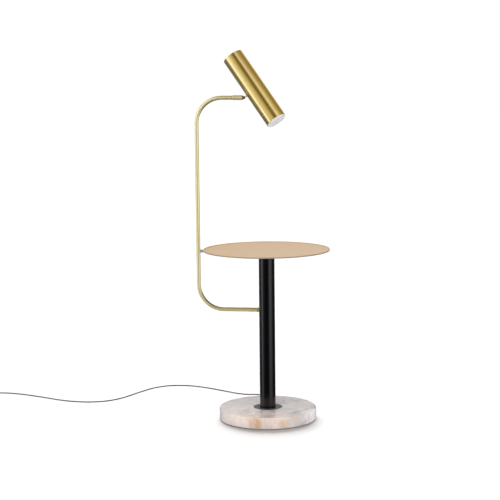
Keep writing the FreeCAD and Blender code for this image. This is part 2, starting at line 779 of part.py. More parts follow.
# ---------------------------------------------------------------- cord and what is on it
def make_cord_relief():
    inner = exit_dir * (marble_d / 2 - relief_block_l) + Z_AXIS * channel_z
    half = channel_w / 2 - push_gap
    square = block((marble_d / 2 - relief_block_l, marble_d / 2 - 1), (-half, half),
                   (channel_z - half, channel_z + half))
    boot = Part.makeCone(relief_root_d / 2, relief_tip_d / 2, relief_out + 2,
                         V(marble_d / 2 - 2, 0, channel_z), X_AXIS)
    body = square.fuse(boot).removeSplitter()
    body.rotate(V(0, 0, 0), Z_AXIS, exit_angle)
    return body.cut(rod(cord_d + 2 * push_gap, inner - exit_dir, relief_end + exit_dir))


def free_cord_points():
    points = [relief_end, relief_end + exit_dir * cord_first_run]
    for x, y, lift in cord_route:
        points.append(V(x, y, cord_z + lift))
    points.append(V(switch_x, switch_y + switch_l / 2, switch_cord_z))
    return points


def make_power_cord():
    line, radii = rounded_path(free_cord_points(), largest_arc)
    tube = tube_along(line, cord_d)
    expected = math.pi * cord_d ** 2 / 4 * line.Length
    print("cord: length %.1f, arc radii %s" % (line.Length, [round(r, 1) for r in radii]))
    print("cord: volume %.1f, section times length %.1f" % (tube.Volume, expected))
    return tube


def switch_lead_points():
    start = V(switch_x, switch_y - switch_l / 2, switch_cord_z)
    end = V(switch_x, coil_y + coil_lead_in, coil_low_z)
    third = (end.y - start.y) / 3
    return [start, V(switch_x, start.y + third, start.z), V(switch_x, end.y - third, end.z), end]


def make_switch_lead():
    line, radii = rounded_path(switch_lead_points(), largest_arc)
    tube = tube_along(line, cord_d)
    expected = math.pi * cord_d ** 2 / 4 * line.Length
    print("switch lead: length %.1f, arc radii %s" % (line.Length, [round(r, 1) for r in radii]))
    print("switch lead: volume %.1f, section times length %.1f" % (tube.Volume, expected))
    return tube


def coil_point(turn):
    """Place of the coil's centre line after a number of turns, from its outer lower end."""
    climb_end = coil_turns + 0.5
    if turn < coil_turns:
        radius = coil_inner_r + (coil_turns - turn) * coil_step
        height = 0.0
    elif turn < climb_end:
        share = (turn - coil_turns) / 0.5
        radius = coil_inner_r - coil_tuck * math.sin(math.pi * share)
        height = coil_layer * (1 - math.cos(math.pi * share)) / 2
    else:
        radius = coil_inner_r + (turn - climb_end) * coil_step
        height = coil_layer
    angle = math.pi + 2 * math.pi * turn
    return coil_spot + V(radius * math.cos(angle), radius * math.sin(angle), height)


def coil_knots():
    """Quarter-turn places and headings along the coil."""
    count = int(4 * (2 * coil_turns + 0.5))
    small = 1e-4
    knots = []
    for k in range(count + 1):
        turn = k / 4.0
        heading = coil_point(turn + small) - coil_point(turn - small)
        if k in (0, count):
            heading = V(0, heading.y, 0)
        knots.append((coil_point(turn), heading.normalize()))
    return knots


def biarc(start, heading, end, end_heading):
    """Two tangent arcs between two places with given headings."""
    gap = end - start
    both = heading + end_heading
    a = 2 * (1 - heading.dot(end_heading))
    b = gap.dot(both)
    reach = (-b + math.sqrt(b * b + a * gap.dot(gap))) / a
    first = start + heading * reach
    second = end - end_heading * reach
    middle = (first + second) * 0.5
    return [arc_between(start, first, middle), arc_between(middle, second, end)]


def coil_line():
    knots = coil_knots()
    start, heading = knots[0]
    end, end_heading = knots[-1]
    edges = [Part.LineSegment(start - heading * coil_lead_in, start).toShape()]
    for (place, way), (next_place, next_way) in zip(knots, knots[1:]):
        edges += biarc(place, way, next_place, next_way)
    edges.append(Part.LineSegment(end, end + end_heading * plug_from_coil).toShape())
    return Part.Wire(edges)


def least_gap(line, d, steps=1500):
    """Least gap of a coiled tube to itself, between places over half a turn apart."""
    places = line.discretize(steps)
    apart = int(steps * math.pi * coil_inner_r / line.Length)
    best = 1e9
    for i in range(steps):
        for j in range(i + apart, steps):
            gap = places[i].distanceToPoint(places[j])
            if gap < best:
                best = gap
    return best - d


def make_cord_coil():
    line = coil_line()
    tube = tube_along(line, cord_d)
    expected = math.pi * cord_d ** 2 / 4 * line.Length
    tightest = min(e.Curve.Radius for e in line.Edges if hasattr(e.Curve, "Radius"))
    print("coil: length %.1f, tightest radius %.1f" % (line.Length, tightest))
    print("coil: volume %.1f, section times length %.1f" % (tube.Volume, expected))
    print("coil: least gap to itself %.2f" % least_gap(line, cord_d))
    return tube


def make_coil_tie():
    inner_r = coil_inner_r - coil_tuck - cord_d / 2 - tie_gap
    low_r = math.sqrt(inner_r ** 2 - (tie_w / 2) ** 2)
    outer_turn_r = coil_inner_r + (coil_turns - tie_turn) * coil_step
    high_r = outer_turn_r + cord_d / 2 + tie_gap
    low_z = coil_low_z - cord_d / 2 - tie_gap
    high_z = coil_low_z + coil_layer + cord_d / 2 + tie_gap
    x = (coil_spot.x - tie_w / 2, coil_spot.x + tie_w / 2)
    band = block(x, (coil_y - high_r - tie_t, coil_y - low_r + tie_t),
                 (low_z - tie_t, high_z + tie_t))
    hollow = block((x[0] - 1, x[1] + 1), (coil_y - high_r, coil_y - low_r), (low_z, high_z))
    long_edges = [e for e in band.Edges if abs(e.BoundBox.XLength - tie_w) < 1e-6]
    return band.makeFillet(tie_corner_r, long_edges).cut(hollow)


def switch_block(length, width, low, high):
    """Box about the switch's middle between two heights."""
    return block((switch_x - width / 2, switch_x + width / 2),
                 (switch_y - length / 2, switch_y + length / 2), (low, high))


def make_switch_base():
    shell = switch_block(switch_l, switch_w, 0, switch_base_h)
    upright = [e for e in shell.Edges if abs(e.BoundBox.ZLength - switch_base_h) < 1e-6]
    shell = shell.makeFillet(switch_corner_r, upright)
    cavity = switch_block(switch_cavity_l, switch_w - 2 * switch_wall, switch_wall,
                          switch_base_h + 1)
    cuts = [cavity]
    for x, y in switch_screw_places():
        cuts.append(disc(switch_screw_d + 2 * push_gap, -1, switch_base_h + 1, x, y))
        cuts.append(disc(switch_screw_head_d + 2 * clearance_gap, -1,
                         switch_screw_sunk + switch_screw_head_h, x, y))
    return one_solid(shell.cut(cuts))


def make_switch_cover():
    shell = switch_block(switch_l, switch_w, switch_base_h, switch_h)
    upright = [e for e in shell.Edges if abs(e.BoundBox.ZLength - switch_h + switch_base_h) < 1e-6]
    shell = shell.makeFillet(switch_corner_r, upright)
    rim = [e for e in shell.Edges if abs(e.BoundBox.ZMin - switch_h) < 1e-4]
    shell = shell.makeFillet(switch_edge_r, rim)
    cavity = switch_block(switch_cavity_l, switch_w - 2 * switch_wall, switch_base_h - 1,
                          switch_h - switch_wall)
    window = switch_block(window_l, window_w, switch_base_h, switch_h + 1)
    cuts = [cavity, window]
    for x, y in switch_screw_places():
        cuts.append(disc(switch_screw_d + 2 * push_gap, switch_base_h - 1,
                         switch_screw_sunk + switch_screw_l + push_gap, x, y))
    shell = shell.cut(cuts)
    for side in (-1, 1):
        near = switch_x + side * window_w / 2
        far = near + side * lug_t
        lug = block((min(near, far), max(near, far)),
                    (switch_y - lug_w / 2, switch_y + lug_w / 2),
                    (switch_h - switch_wall - lug_h, switch_h - switch_wall))
        shell = shell.fuse(lug)
    reach = switch_w / 2 - switch_wall
    pivot = rod(rocker_pin_d + 2 * running_gap, V(switch_x - reach, switch_y, rocker_pivot_z),
                V(switch_x + reach, switch_y, rocker_pivot_z))
    return one_solid(shell.cut(pivot))


def make_switch_rocker():
    body = block((switch_x - rocker_w / 2, switch_x + rocker_w / 2),
                 (switch_y - rocker_l / 2, switch_y + rocker_l / 2),
                 (rocker_pivot_z - rocker_low, rocker_pivot_z + rocker_top))
    top = [e for e in body.Edges if abs(e.BoundBox.ZMin - rocker_pivot_z - rocker_top) < 1e-4]
    body = body.makeFillet(rocker_edge_r, top)
    reach = rocker_w / 2 + (window_w - rocker_w) / 2 + rocker_pin_l
    pins = rod(rocker_pin_d, V(switch_x - reach, switch_y, rocker_pivot_z),
               V(switch_x + reach, switch_y, rocker_pivot_z))
    body = one_solid(body.fuse(pins))
    body.rotate(V(switch_x, switch_y, rocker_pivot_z), X_AXIS, -rocker_rest)
    return body


def switch_screw_places():
    """One screw beside the cord at each end, on opposite sides."""
    return [(switch_x + switch_screw_x, switch_y - switch_screw_y),
            (switch_x - switch_screw_x, switch_y + switch_screw_y)]


def make_switch_screws():
    screws = []
    for x, y in switch_screw_places():
        seat = switch_screw_sunk + switch_screw_head_h
        head = disc(switch_screw_head_d, switch_screw_sunk, seat, x, y)
        shank = disc(switch_screw_d, seat - 1, switch_screw_sunk + switch_screw_l, x, y)
        screws.append(head.fuse(shank).removeSplitter())
    return Part.makeCompound(screws)


def plug_start():
    """Place where the cord enters the plug's neck."""
    knot, heading = coil_knots()[-1]
    return knot + heading * plug_from_coil


def make_plug_body():
    start = plug_start()
    rear_y = start.y + plug_neck_l
    front_y = rear_y + plug_l
    outline = [V(start.x - plug_rear_w / 2, rear_y, 0),
               V(start.x - plug_w / 2, rear_y + plug_flare_l, 0),
               V(start.x - plug_w / 2, front_y, 0),
               V(start.x + plug_w / 2, front_y, 0),
               V(start.x + plug_w / 2, rear_y + plug_flare_l, 0),
               V(start.x + plug_rear_w / 2, rear_y, 0)]
    face = Part.Face(Part.makePolygon(outline + [outline[0]]))
    grip = face.extrude(Z_AXIS * plug_t)
    low = plug_z - plug_t / 2
    grip.translate(Z_AXIS * low)
    sides = [e for e in grip.Edges if e.BoundBox.ZLength > plug_t - 1e-4
             and e.BoundBox.YMax < front_y - 1]
    grip = grip.makeFillet(plug_edge_r, sides)
    neck = Part.makeCone(relief_tip_d / 2, plug_neck_d / 2, plug_neck_l + 1, start, Y_AXIS)
    holes = [rod(plug_pin_d + 2 * push_gap, V(x, front_y - plug_pin_held, plug_z),
                 V(x, front_y + 1, plug_z)) for x in plug_pin_places(start)]
    return one_solid(grip.fuse(neck).cut(holes))


def plug_pin_places(start):
    return [start.x - plug_pin_pitch / 2, start.x + plug_pin_pitch / 2]


def make_plug_pins():
    start = plug_start()
    front_y = start.y + plug_neck_l + plug_l
    pins = []
    for x in plug_pin_places(start):
        pin = rod(plug_pin_d, V(x, front_y - plug_pin_held + push_gap, plug_z),
                  V(x, front_y + plug_pin_l, plug_z))
        tip = [e for e in pin.Edges if abs(e.BoundBox.YMin - front_y - plug_pin_l) < 1e-4]
        pins.append(pin.makeFillet(plug_pin_tip_r, tip))
    return Part.makeCompound(pins)


# ---------------------------------------------------------------- output
MAKERS = {
    "base_pad": make_base_pad, "marble_base": make_marble_base,
    "clamp_plate": make_clamp_plate, "lock_washer": make_lock_washer,
    "base_bolt": make_base_bolt, "base_flange": make_base_flange,
    "foot_plug": make_foot_plug, "post_tube": make_post_tube, "led_driver": make_led_driver,
    "arm_socket": make_arm_socket, "arm_grub_screw": make_arm_grub_screw,
    "post_cap_flange": make_post_cap_flange, "tray_boss_plate": make_tray_boss_plate,
    "tray_screws": make_tray_screws, "tray": make_tray, "tray_link": make_tray_link,
    "tray_link_screws": make_tray_link_screws, "arm_tube": make_arm_tube,
    "arm_collar": make_arm_collar, "arm_end_spigot": make_arm_end_spigot,
    "knuckle_sleeve": make_knuckle_sleeve, "swivel_stop_screw": make_swivel_stop_screw,
    "tilt_pin": make_tilt_pin, "head_stem": make_head_stem, "head_shell": make_head_shell,
    "stem_saddle": make_stem_saddle, "stem_nut": make_stem_nut, "head_cap": make_head_cap,
    "heat_sink": make_heat_sink, "led_board": make_led_board, "led_chip": make_led_chip,
    "led_board_screws": make_led_board_screws, "reflector": make_reflector,
    "diffuser": make_diffuser, "mains_lead": make_mains_lead, "arm_lead": make_arm_lead,
    "head_lead": make_head_lead, "cord_relief": make_cord_relief,
    "power_cord": make_power_cord, "switch_lead": make_switch_lead,
    "cord_coil": make_cord_coil, "coil_tie": make_coil_tie, "switch_base": make_switch_base,
    "switch_cover": make_switch_cover, "switch_rocker": make_switch_rocker,
    "switch_screws": make_switch_screws, "plug_body": make_plug_body,
    "plug_pins": make_plug_pins,
}


def main():
    os.makedirs("parts", exist_ok=True)
    for name, make in MAKERS.items():
        shape = make()
        box = shape.BoundBox
        print("%-18s solids %d valid %s volume %9.0f  z %.1f to %.1f"
              % (name, len(shape.Solids), shape.isValid(), shape.Volume, box.ZMin, box.ZMax))
        shape.exportStep("parts/" + name + ".step")


main()
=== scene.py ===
import json
import math

import bpy
from mathutils import Matrix, Vector


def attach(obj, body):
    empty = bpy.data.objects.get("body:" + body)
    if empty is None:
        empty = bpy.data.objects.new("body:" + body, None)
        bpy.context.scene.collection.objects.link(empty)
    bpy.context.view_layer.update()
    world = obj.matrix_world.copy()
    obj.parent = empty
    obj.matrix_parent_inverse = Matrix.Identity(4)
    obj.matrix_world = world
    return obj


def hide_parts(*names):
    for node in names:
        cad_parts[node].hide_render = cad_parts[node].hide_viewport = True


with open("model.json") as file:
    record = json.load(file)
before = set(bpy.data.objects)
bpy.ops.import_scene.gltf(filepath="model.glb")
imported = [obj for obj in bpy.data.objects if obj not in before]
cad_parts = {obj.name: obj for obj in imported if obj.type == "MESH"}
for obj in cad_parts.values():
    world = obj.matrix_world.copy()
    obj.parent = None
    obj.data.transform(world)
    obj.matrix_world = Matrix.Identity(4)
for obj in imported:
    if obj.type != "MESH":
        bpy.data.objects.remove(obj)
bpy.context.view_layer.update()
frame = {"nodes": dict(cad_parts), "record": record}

# ---------------------------------------------------------------- sizes and places
CORD_D = 0.0048
CORD_ROUNDING = 4            # bevel steps round the cord
CORD_STEPS = 12              # steps along the cord between two control points
EXIT_ANGLE = math.radians(97)
FLOOR_Z = 0.0
FLOOR_HALF = 40.0

# Camera, solved from the photograph. The lens and the sensor are in millimetres.
CAMERA_SPOT = (0.7816, -5.4311, 1.3875)
CAMERA_LENS = 100.8
CAMERA_SENSOR = 36.0
CAMERA_HEADING = math.radians(8.871)
CAMERA_DIP = math.radians(7.344)
CAMERA_ROLL = math.radians(-0.577)
CAMERA_CLIP = (0.1, 100.0)

# Tilt pin and rest pose of the head.
PIN_SPOT = Vector((-0.084, 0, 1.279))
HEAD_TILT = math.radians(35)
HEAD_SWIVEL = math.radians(15.3)
HEAD_OFFSET = 0.0544         # from the tilt pin to the head's axis

# The cord's free route, from the strain relief to the switch.
CORD_ROUTE = [
    (-0.02687, 0.21886, 0.0085), (-0.03053, 0.24863, 0.0085), (-0.034, 0.275, 0.0051),
    (-0.040, 0.318, 0.0025), (-0.060, 0.362, 0.0025), (-0.098, 0.395, 0.0025),
    (-0.150, 0.383, 0.0025), (-0.200, 0.406, 0.0025), (-0.250, 0.437, 0.0025),
    (-0.303, 0.472, 0.0025), (-0.357, 0.501, 0.0025), (-0.414, 0.523, 0.0025),
    (-0.471, 0.526, 0.0025), (-0.526, 0.510, 0.0025), (-0.573, 0.465, 0.0025),
    (-0.602, 0.408, 0.0025), (-0.629, 0.346, 0.0025), (-0.655, 0.279, 0.0025),
    (-0.691, 0.222, 0.0025), (-0.739, 0.185, 0.0025), (-0.800, 0.171, 0.0025),
    (-0.857, 0.177, 0.0025), (-0.920, 0.194, 0.0025), (-0.981, 0.224, 0.0025),
    (-1.041, 0.252, 0.0025), (-1.100, 0.277, 0.0025), (-1.160, 0.294, 0.0025),
    (-1.218, 0.298, 0.0025), (-1.262, 0.276, 0.0031), (-1.276, 0.243, 0.0050),
    (-1.276, 0.222, 0.0050),
]

# The cord from the switch to the coil, and the coil's sizes. The coil has two layers: the lower
# one winds inwards, and the upper one outwards.
SWITCH_ROUTE = [
    (-1.276, 0.158, 0.0050), (-1.276, 0.135, 0.0050), (-1.276, 0.112, 0.0034),
]
COIL_START = Vector((-1.2442, 0.080, 0.0034))
COIL_INNER_R = 0.021
COIL_STEP = 0.0054           # how much wider each turn is than the one inside it
COIL_TURNS = 2               # in each layer
COIL_LAYER = 0.00525         # height from one layer to the next
COIL_CLIMB = 0.5             # turns in which the cord climbs to the upper layer
COIL_TUCK = 0.0008           # how much the climb leans inwards
COIL_POINTS = 16             # control points in a turn
COIL_TAIL = 0.031            # straight run from the coil to the plug
COIL_TAIL_KNOT = 0.4         # share of that run at which it has a control point
COIL_SWELL = 1.0 / 0.981     # a spline cuts inside its control points


# ---------------------------------------------------------------- camera and cords
def place_camera():
    data = bpy.data.cameras.new("camera")
    data.lens = CAMERA_LENS
    data.sensor_width = CAMERA_SENSOR
    data.clip_start, data.clip_end = CAMERA_CLIP
    camera = bpy.data.objects.new("camera", data)
    bpy.context.collection.objects.link(camera)
    turn = (Matrix.Rotation(CAMERA_HEADING, 4, "Z")
            @ Matrix.Rotation(math.pi / 2 - CAMERA_DIP, 4, "X")
            @ Matrix.Rotation(CAMERA_ROLL, 4, "Z"))
    camera.matrix_world = Matrix.Translation(CAMERA_SPOT) @ turn
    bpy.context.scene.camera = camera


def lay_cord(name, points):
    """A round cord along one smooth spline. The points' radii give its thickness."""
    curve = bpy.data.curves.new(name, "CURVE")
    curve.dimensions = "3D"
    curve.bevel_depth = 1.0
    curve.bevel_resolution = CORD_ROUNDING
    curve.use_fill_caps = True
    spline = curve.splines.new("NURBS")
    spline.points.add(len(points) - 1)
    for knot, place in zip(spline.points, points):
        knot.co = (*place, 1.0)
        knot.radius = CORD_D / 2
    spline.order_u = 3
    spline.use_endpoint_u = True
    spline.resolution_u = CORD_STEPS
    cord = bpy.data.objects.new(name, curve)
    bpy.context.collection.objects.link(cord)
    return cord


def coil_spot(turn):
    """Control point of the coil after a number of turns."""
    climb_end = COIL_TURNS + COIL_CLIMB
    if turn < COIL_TURNS:
        radius = COIL_INNER_R + (COIL_TURNS - turn) * COIL_STEP
        height = 0.0
    elif turn < climb_end:
        share = (turn - COIL_TURNS) / COIL_CLIMB
        radius = COIL_INNER_R - COIL_TUCK * math.sin(math.pi * share)
        height = COIL_LAYER * (1 - math.cos(math.pi * share)) / 2
    else:
        radius = COIL_INNER_R + (turn - climb_end) * COIL_STEP
        height = COIL_LAYER
    angle = math.pi + 2 * math.pi * turn
    radius = radius * COIL_SWELL
    return COIL_START + Vector((radius * math.cos(angle), radius * math.sin(angle), height))


def coil_route():
    """The cord from the switch through the coil to the plug."""
    turns = 2 * COIL_TURNS + COIL_CLIMB
    count = int(COIL_POINTS * turns)
    points = [Vector(p) for p in SWITCH_ROUTE]
    points += [coil_spot((k + 0.5) / COIL_POINTS) for k in range(count)]
    last = coil_spot(turns)
    last.x = COIL_START.x + COIL_INNER_R + COIL_TURNS * COIL_STEP
    points.append(last + Vector((0, COIL_TAIL * COIL_TAIL_KNOT, 0)))
    points.append(last + Vector((0, COIL_TAIL, 0)))
    return points


# ---------------------------------------------------------------- strain relief
BOOT_LENGTH = 0.027          # outside the marble
BOOT_HELD = 0.0195           # inside the marble
BOOT_BORE_R = 0.00245
BLOCK_HALF = 0.00445         # half the width of the block in the channel
BLOCK_SUNK = 0.001           # how far the block's face lies inside the marble
CORNER = math.sqrt(2)        # reach of a square's corner for half its width
BOOT_BACK = 0.0001 - BLOCK_SUNK
# Heights along the boot and radii of its collar and of its tip.
BOOT_COLLAR = [(BOOT_BACK, 0.0038), (0.0002, 0.0038), (0.0002, 0.0041), (0.0005, 0.0044),
               (0.0016, 0.0044), (0.0019, 0.0041)]
BOOT_TIP = [(0.0252, 0.0031), (0.0265, 0.0030), (BOOT_LENGTH, 0.0027)]
BOOT_RIBS = 7
BOOT_RIBS_FROM = 0.0026      # height of the first rib's start
BOOT_RIBS_R = 0.0039         # radius of the first rib
BOOT_PITCH = 0.0032
BOOT_TAPER = 0.00012         # how much less each rib stands out than the one before it
# Heights over a rib's start, and how far its skin stands over its radius.
RIB_SHAPE = [(0.0, -0.0007), (0.0003, -0.0001), (0.0005, 0.0), (0.0017, 0.0),
             (0.0019, -0.0001), (0.0022, -0.0007)]
TURNED_SIDES = 40
SAME_POINT = 1e-6            # points nearer than this are merged
SOFT_EDGE = math.radians(40)


def turn_piece(name, profile, sides=TURNED_SIDES):
    """A round solid along Z, drawn ring by ring from a circle.

    profile gives heights and radii, out along the outside and back through the bore.
    """
    bpy.ops.object.select_all(action="DESELECT")
    bpy.ops.mesh.primitive_circle_add(vertices=sides, radius=profile[0][1],
                                      fill_type="NOTHING", location=(0, 0, 0))
    piece = bpy.context.object
    piece.name = piece.data.name = name
    bpy.ops.object.mode_set(mode="EDIT")
    bpy.ops.mesh.select_all(action="SELECT")
    bpy.ops.transform.translate(value=(0, 0, profile[0][0]))
    for (low, before), (high, after) in zip(profile, profile[1:] + profile[:1]):
        bpy.ops.mesh.extrude_region_move(TRANSFORM_OT_translate={"value": (0, 0, high - low)})
        share = after / before
        bpy.ops.transform.resize(value=(share, share, 1), center_override=(0, 0, high))
    bpy.ops.mesh.select_all(action="SELECT")
    bpy.ops.mesh.remove_doubles(threshold=SAME_POINT)
    bpy.ops.mesh.normals_make_consistent(inside=False)
    bpy.ops.object.mode_set(mode="OBJECT")
    return piece


def make_relief_boot():
    """A square block in the marble's channel, and a tapered boot with a collar and ribs."""
    held = turn_piece("relief_block", [(-BOOT_HELD, BLOCK_HALF * CORNER),
                                       (-BLOCK_SUNK, BLOCK_HALF * CORNER),
                                       (-BLOCK_SUNK, BOOT_BORE_R * CORNER),
                                       (-BOOT_HELD, BOOT_BORE_R * CORNER)], sides=4)
    held.matrix_world = Matrix.Rotation(math.radians(45), 4, "Z")
    profile = list(BOOT_COLLAR)
    for k in range(BOOT_RIBS):
        start = BOOT_RIBS_FROM + k * BOOT_PITCH
        reach = BOOT_RIBS_R - k * BOOT_TAPER
        profile += [(start + height, reach + over) for height, over in RIB_SHAPE]
    profile += BOOT_TIP
    profile += [(BOOT_LENGTH, BOOT_BORE_R), (BOOT_BACK, BOOT_BORE_R)]
    boot = turn_piece("relief_boot", profile)
    held.select_set(True)
    bpy.ops.object.join()
    tip = Vector(CORD_ROUTE[0])
    heading = Vector((math.cos(EXIT_ANGLE), math.sin(EXIT_ANGLE), 0))
    boot.matrix_world = (Matrix.Translation(tip - heading * BOOT_LENGTH)
                         @ heading.to_track_quat("Z", "Y").to_matrix().to_4x4())
    bpy.ops.object.transform_apply(location=True, rotation=True, scale=True)
    bpy.ops.object.shade_smooth_by_angle(angle=SOFT_EDGE)
    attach(boot, "stand")
    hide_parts("cord_relief")
    return boot


place_camera()
relief_boot = make_relief_boot()
mains_cord = lay_cord("mains_cord", CORD_ROUTE)
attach(mains_cord, "stand")
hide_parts("power_cord")
coiled_cord = lay_cord("coiled_cord", coil_route())
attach(coiled_cord, "stand")
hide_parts("switch_lead", "cord_coil")


# ---------------------------------------------------------------- node materials
def feed(tree, socket, value):
    """Link a socket to another one, or set it to a plain value."""
    if isinstance(value, bpy.types.NodeSocket):
        tree.links.new(value, socket)
    else:
        socket.default_value = value


class Finish:
    """A material or a node group that is being wired up."""

    def __init__(self, tree):
        self.tree = tree

    def add(self, kind, inputs=None, **settings):
        """A node with its settings, and its inputs set or linked by name or number."""
        node = self.tree.nodes.new(kind)
        for key, value in settings.items():
            setattr(node, key, value)
        for key, value in (inputs or {}).items():
            feed(self.tree, node.inputs[key], value)
        return node

    def noise(self, vector, scale, detail=2.0, rough=0.5, distortion=0.0):
        node = self.add("ShaderNodeTexNoise", {"Vector": vector, "Scale": scale,
                                               "Detail": detail, "Roughness": rough,
                                               "Distortion": distortion})
        return node.outputs["Fac"]

    def span(self, value, low, high, to_low=0.0, to_high=1.0, smooth=False):
        """The value's range from low to high, carried to another range and held there."""
        node = self.add("ShaderNodeMapRange", {"Value": value, "From Min": low,
                                               "From Max": high, "To Min": to_low,
                                               "To Max": to_high},
                        interpolation_type="SMOOTHSTEP" if smooth else "LINEAR")
        return node.outputs["Result"]

    def math(self, operation, *values):
        node = self.add("ShaderNodeMath", dict(enumerate(values)), operation=operation)
        return node.outputs[0]

    def vector(self, operation, first, second):
        """The vector that an operation gives, or the value of a dot product or a distance."""
        key = "Scale" if operation == "SCALE" else 1
        node = self.add("ShaderNodeVectorMath", {0: first, key: second}, operation=operation)
        return node.outputs["Value" if operation in ("DOT_PRODUCT", "DISTANCE") else "Vector"]

    def split(self, vector):
        """The X, Y and Z of a vector."""
        return self.add("ShaderNodeSeparateXYZ", {0: vector}).outputs

    def join(self, x, y, z):
        return self.add("ShaderNodeCombineXYZ", {"X": x, "Y": y, "Z": z}).outputs[0]

    def blend(self, share, first, second):
        """Colour between two colours."""
        return self.add("ShaderNodeMix", {0: share, 6: first, 7: second},
                        data_type="RGBA").outputs[2]

    def bump(self, height, strength, distance):
        return self.add("ShaderNodeBump", {"Height": height, "Strength": strength,
                                           "Distance": distance}).outputs["Normal"]

    def group(self, tree, inputs):
        return self.add("ShaderNodeGroup", inputs, node_tree=tree)


def rgb(red, green, blue):
    """Linear colour with full alpha of a colour given as 0 to 255 on a screen."""
    linear = []
    for value in (red, green, blue):
        share = value / 255
        linear.append(share / 12.92 if share < 0.04045 else ((share + 0.055) / 1.055) ** 2.4)
    return (*linear, 1.0)


def new_group(name, inputs, outputs):
    """An empty node group: its tree, its builder, its input node and its output node."""
    tree = bpy.data.node_groups.new(name, "ShaderNodeTree")
    for label, kind, value in inputs:
        socket = tree.interface.new_socket(label, in_out="INPUT", socket_type=kind)
        if value is not None:
            socket.default_value = value
    for label, kind in outputs:
        tree.interface.new_socket(label, in_out="OUTPUT", socket_type=kind)
    finish = Finish(tree)
    return tree, finish, finish.add("NodeGroupInput"), finish.add("NodeGroupOutput")


NOISE_RANGE = (0.3, 0.7)     # most values of a noise lie between these
DRIFT_SHARE = 0.6            # share of the wide drift in the gloss, the rest being fine grain
GLOSS_GAIN = 4.0             # how much the gloss swings for a spread of 1
GRAIN_DEPTH = 0.0002
LINE_DEPTH = 0.00005         # of brushed lines
DULLED_RANGE = (0.42, 0.7)   # values of the noise where a dulled patch starts, and is full
STREAK_FINENESS = 11.0       # how much finer the streaks are than the dulled patches
STREAK_RANGE = (0.3, 0.75)
STREAK_LOW = 0.35            # how much of a patch shows between its streaks


def make_fine_grain():
    """Fine orange peel or powder grain, with a wider drift in its gloss."""
    tree, f, source, out = new_group(
        "fine_grain",
        [("Vector", "NodeSocketVector", None), ("Grain Scale", "NodeSocketFloat", 900.0),
         ("Drift Scale", "NodeSocketFloat", 14.0), ("Roughness", "NodeSocketFloat", 0.4),
         ("Spread", "NodeSocketFloat", 0.06), ("Relief", "NodeSocketFloat", 0.2)],
        [("Roughness", "NodeSocketFloat"), ("Normal", "NodeSocketVector"),
         ("Grain", "NodeSocketFloat")])
    place = source.outputs["Vector"]
    grain = f.noise(place, source.outputs["Grain Scale"], detail=3.0, rough=0.55)
    drift = f.noise(place, source.outputs["Drift Scale"], detail=4.0, rough=0.6)
    both = f.math("ADD", f.math("MULTIPLY", grain, 1 - DRIFT_SHARE),
                  f.math("MULTIPLY", drift, DRIFT_SHARE))
    swing = f.math("MULTIPLY", f.math("SUBTRACT", both, 0.5), source.outputs["Spread"])
    rough = f.math("ADD", source.outputs["Roughness"], f.math("MULTIPLY", swing, GLOSS_GAIN))
    f.tree.links.new(rough, out.inputs["Roughness"])
    f.tree.links.new(f.bump(grain, source.outputs["Relief"], GRAIN_DEPTH), out.inputs["Normal"])
    f.tree.links.new(grain, out.inputs["Grain"])
    return tree


def make_handling():
    """Where hands and cloths leave a surface duller, in soft patches with faint streaks."""
    tree, f, source, out = new_group(
        "handling",
        [("Vector", "NodeSocketVector", None), ("Scale", "NodeSocketFloat", 9.0),
         ("Amount", "NodeSocketFloat", 0.5)],
        [("Mask", "NodeSocketFloat")])
    place, scale = source.outputs["Vector"], source.outputs["Scale"]
    patch = f.noise(place, scale, detail=5.0, rough=0.62, distortion=0.6)
    fine = f.math("MULTIPLY", scale, STREAK_FINENESS)
    streak = f.noise(place, fine, detail=3.0, rough=0.7, distortion=1.4)
    mask = f.math("MULTIPLY", f.span(patch, *DULLED_RANGE, smooth=True),
                  f.span(streak, *STREAK_RANGE, STREAK_LOW, 1.0))
    f.tree.links.new(f.math("MULTIPLY", mask, source.outputs["Amount"]), out.inputs["Mask"])
    return tree


def make_brushing():
    """Fine lines across an axis: the vector's Z runs along the axis."""
    tree, f, source, out = new_group(
        "brushing",
        [("Vector", "NodeSocketVector", None), ("Lines", "NodeSocketFloat", 5200.0),
         ("Length", "NodeSocketFloat", 30.0), ("Relief", "NodeSocketFloat", 0.15)],
        [("Lines", "NodeSocketFloat"), ("Normal", "NodeSocketVector")])
    x, y, z = f.split(source.outputs["Vector"])
    across = f.join(f.math("MULTIPLY", x, source.outputs["Length"]),
                    f.math("MULTIPLY", y, source.outputs["Length"]),
                    f.math("MULTIPLY", z, source.outputs["Lines"]))
    lines = f.noise(across, scale=1.0, detail=4.0, rough=0.65)
    f.tree.links.new(lines, out.inputs["Lines"])
    f.tree.links.new(f.bump(lines, source.outputs["Relief"], LINE_DEPTH), out.inputs["Normal"])
    return tree


FINE_GRAIN = make_fine_grain()
HANDLING = make_handling()
BRUSHING = make_brushing()


def start_material(name):
    """A material with its builder, its shader and its object coordinates."""
    material = bpy.data.materials.new(name)
    material.use_nodes = True
    finish = Finish(material.node_tree)
    shader = material.node_tree.nodes["Principled BSDF"]
    place = finish.add("ShaderNodeTexCoord").outputs["Object"]
    return material, finish, shader, place


def wire(finish, shader, **inputs):
    """Link or set a shader's inputs. Underscores in the names stand for spaces."""
    for key, value in inputs.items():
        feed(finish.tree, shader.inputs[key.replace("_", " ")], value)


# How much hands and cloths dull a finish where they touch it.
PAINT_DULLED = 0.12
METAL_DULLED = 0.08
STONE_DULLED = 0.2
# How much of the darker colour a finish shows at the most.
CLOUD_SHARE = 0.6
SPECK_SHARE = 0.35
TRAY_SPECK_SHARE = 0.3
STAIN_SHARE = 0.35


